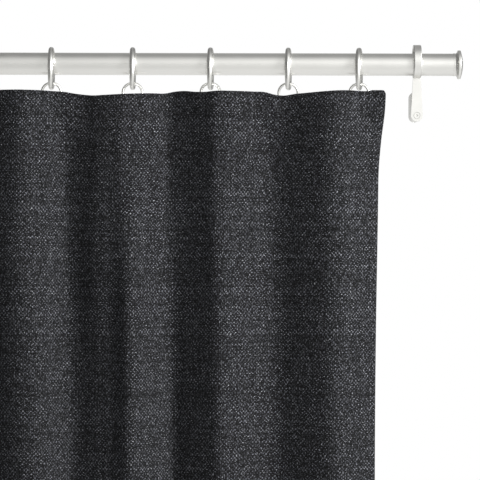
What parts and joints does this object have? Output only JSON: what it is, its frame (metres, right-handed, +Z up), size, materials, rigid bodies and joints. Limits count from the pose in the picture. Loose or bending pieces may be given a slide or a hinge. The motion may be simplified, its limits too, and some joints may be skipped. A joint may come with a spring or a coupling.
{
  "type": "curtain panel on a wall-mounted rod",
  "caption": "Dark woven curtain panel pinned to metal rings with linked eyelets on a capped tube rod, held by loop brackets with wall posts.",
  "frame": {"origin": "middle of the four wall-screw holes, on the wall's face, midway between the two brackets", "axes": "+X along the rod to the right as seen from the room, +Y into the wall, +Z up"},
  "size_m": [1.117, 0.0665, 2.189],
  "materials": {
    "satin_nickel": "satin",
    "screw_steel": "satin",
    "zinc_plate": "matte",
    "pin_steel": "gloss",
    "curtain_fabric": "matte",
    "tape_fabric": "matte"
  },
  "bodies": {
    "rail": {"rod_tube": "satin_nickel", "end_cap_left": "satin_nickel", "end_cap_right": "satin_nickel", "bracket_hook_left": "satin_nickel", "bracket_hook_right": "satin_nickel", "wall_post_left": "satin_nickel", "wall_post_right": "satin_nickel", "anchor_plate_left": "zinc_plate", "anchor_plate_right": "zinc_plate", "leg_screw_left": "satin_nickel", "leg_screw_right": "satin_nickel", "post_grub_screw_left": "screw_steel", "post_grub_screw_right": "screw_steel", "rod_lock_screw_left": "screw_steel", "rod_lock_screw_right": "screw_steel"},
    "ring_01": {"ring_01": "satin_nickel"},
    "ring_02": {"ring_02": "satin_nickel"},
    "ring_03": {"ring_03": "satin_nickel"},
    "ring_04": {"ring_04": "satin_nickel"},
    "ring_05": {"ring_05": "satin_nickel"},
    "ring_06": {"ring_06": "satin_nickel"},
    "ring_07": {"ring_07": "satin_nickel"},
    "ring_08": {"ring_08": "satin_nickel"},
    "ring_09": {"ring_09": "satin_nickel"},
    "ring_10": {"ring_10": "satin_nickel"},
    "ring_11": {"ring_11": "satin_nickel"},
    "hanger_01": {"eyelet_01": "satin_nickel", "drapery_pin_01": "pin_steel"},
    "hanger_02": {"eyelet_02": "satin_nickel", "drapery_pin_02": "pin_steel"},
    "hanger_03": {"eyelet_03": "satin_nickel", "drapery_pin_03": "pin_steel"},
    "hanger_04": {"eyelet_04": "satin_nickel", "drapery_pin_04": "pin_steel"},
    "hanger_05": {"eyelet_05": "satin_nickel", "drapery_pin_05": "pin_steel"},
    "hanger_06": {"eyelet_06": "satin_nickel", "drapery_pin_06": "pin_steel"},
    "hanger_07": {"eyelet_07": "satin_nickel", "drapery_pin_07": "pin_steel"},
    "hanger_08": {"eyelet_08": "satin_nickel", "drapery_pin_08": "pin_steel"},
    "hanger_09": {"eyelet_09": "satin_nickel", "drapery_pin_09": "pin_steel"},
    "hanger_10": {"eyelet_10": "satin_nickel", "drapery_pin_10": "pin_steel"},
    "curtain": {"eyelet_11": "satin_nickel", "drapery_pin_11": "pin_steel", "curtain_cloth": "curtain_fabric", "heading_tape": "tape_fabric"}
  },
  "joints": [
    {"name": "curtain_slide", "type": "slide", "parent": "rail", "child": "ring_11", "axis": [1, 0, 0], "range_m": [-0.025, 0.025]},
    {"name": "draw", "type": "slide", "parent": "ring_11", "child": "ring_01", "axis": [1, 0, 0], "range_m": [0, 0.6], "deforming": ["curtain_cloth", "heading_tape"]},
    {"name": "draw_02", "type": "slide", "parent": "ring_11", "child": "ring_02", "axis": [1, 0, 0], "range_m": [0, 0.54]},
    {"name": "draw_03", "type": "slide", "parent": "ring_11", "child": "ring_03", "axis": [1, 0, 0], "range_m": [0, 0.48]},
    {"name": "draw_04", "type": "slide", "parent": "ring_11", "child": "ring_04", "axis": [1, 0, 0], "range_m": [0, 0.42]},
    {"name": "draw_05", "type": "slide", "parent": "ring_11", "child": "ring_05", "axis": [1, 0, 0], "range_m": [0, 0.36]},
    {"name": "draw_06", "type": "slide", "parent": "ring_11", "child": "ring_06", "axis": [1, 0, 0], "range_m": [0, 0.3]},
    {"name": "draw_07", "type": "slide", "parent": "ring_11", "child": "ring_07", "axis": [1, 0, 0], "range_m": [0, 0.24]},
    {"name": "draw_08", "type": "slide", "parent": "ring_11", "child": "ring_08", "axis": [1, 0, 0], "range_m": [0, 0.17659]},
    {"name": "draw_09", "type": "slide", "parent": "ring_11", "child": "ring_09", "axis": [1, 0, 0], "range_m": [0, 0.11591]},
    {"name": "draw_10", "type": "slide", "parent": "ring_11", "child": "ring_10", "axis": [1, 0, 0], "range_m": [0, 0.05523]},
    {"name": "curtain_swing", "type": "hinge", "parent": "ring_11", "child": "curtain", "pos_m": [0.44, -0.038, 0.02475], "axis": [-1, 0, 0], "range_deg": [0, 12]},
    {"name": "swing_01", "type": "hinge", "parent": "ring_01", "child": "hanger_01", "pos_m": [-0.44, -0.038, 0.02475], "axis": [-1, 0, 0], "range_deg": [0, 12]},
    {"name": "swing_02", "type": "hinge", "parent": "ring_02", "child": "hanger_02", "pos_m": [-0.352, -0.038, 0.02475], "axis": [-1, 0, 0], "range_deg": [0, 12]},
    {"name": "swing_03", "type": "hinge", "parent": "ring_03", "child": "hanger_03", "pos_m": [-0.264, -0.038, 0.02475], "axis": [-1, 0, 0], "range_deg": [0, 12]},
    {"name": "swing_04", "type": "hinge", "parent": "ring_04", "child": "hanger_04", "pos_m": [-0.176, -0.038, 0.02475], "axis": [-1, 0, 0], "range_deg": [0, 12]},
    {"name": "swing_05", "type": "hinge", "parent": "ring_05", "child": "hanger_05", "pos_m": [-0.088, -0.038, 0.02475], "axis": [-1, 0, 0], "range_deg": [0, 12]},
    {"name": "swing_06", "type": "hinge", "parent": "ring_06", "child": "hanger_06", "pos_m": [0, -0.038, 0.02475], "axis": [-1, 0, 0], "range_deg": [0, 12]},
    {"name": "swing_07", "type": "hinge", "parent": "ring_07", "child": "hanger_07", "pos_m": [0.088, -0.038, 0.02475], "axis": [-1, 0, 0], "range_deg": [0, 12]},
    {"name": "swing_08", "type": "hinge", "parent": "ring_08", "child": "hanger_08", "pos_m": [0.181, -0.038, 0.02475], "axis": [-1, 0, 0], "range_deg": [0, 12]},
    {"name": "swing_09", "type": "hinge", "parent": "ring_09", "child": "hanger_09", "pos_m": [0.27, -0.038, 0.02475], "axis": [-1, 0, 0], "range_deg": [0, 12]},
    {"name": "swing_10", "type": "hinge", "parent": "ring_10", "child": "hanger_10", "pos_m": [0.359, -0.038, 0.02475], "axis": [-1, 0, 0], "range_deg": [0, 12]}
  ],
  "couplings": [
    {"joint": "draw_02", "follows": "draw", "ratio": 0.9},
    {"joint": "draw_03", "follows": "draw", "ratio": 0.8},
    {"joint": "draw_04", "follows": "draw", "ratio": 0.7},
    {"joint": "draw_05", "follows": "draw", "ratio": 0.6},
    {"joint": "draw_06", "follows": "draw", "ratio": 0.5},
    {"joint": "draw_07", "follows": "draw", "ratio": 0.4},
    {"joint": "draw_08", "follows": "draw", "ratio": 0.29432},
    {"joint": "draw_09", "follows": "draw", "ratio": 0.19318},
    {"joint": "draw_10", "follows": "draw", "ratio": 0.092045},
    {"joint": "swing_01", "follows": "curtain_swing", "ratio": 1},
    {"joint": "swing_02", "follows": "curtain_swing", "ratio": 1},
    {"joint": "swing_03", "follows": "curtain_swing", "ratio": 1},
    {"joint": "swing_04", "follows": "curtain_swing", "ratio": 1},
    {"joint": "swing_05", "follows": "curtain_swing", "ratio": 1},
    {"joint": "swing_06", "follows": "curtain_swing", "ratio": 1},
    {"joint": "swing_07", "follows": "curtain_swing", "ratio": 1},
    {"joint": "swing_08", "follows": "curtain_swing", "ratio": 1},
    {"joint": "swing_09", "follows": "curtain_swing", "ratio": 1},
    {"joint": "swing_10", "follows": "curtain_swing", "ratio": 1}
  ]
}
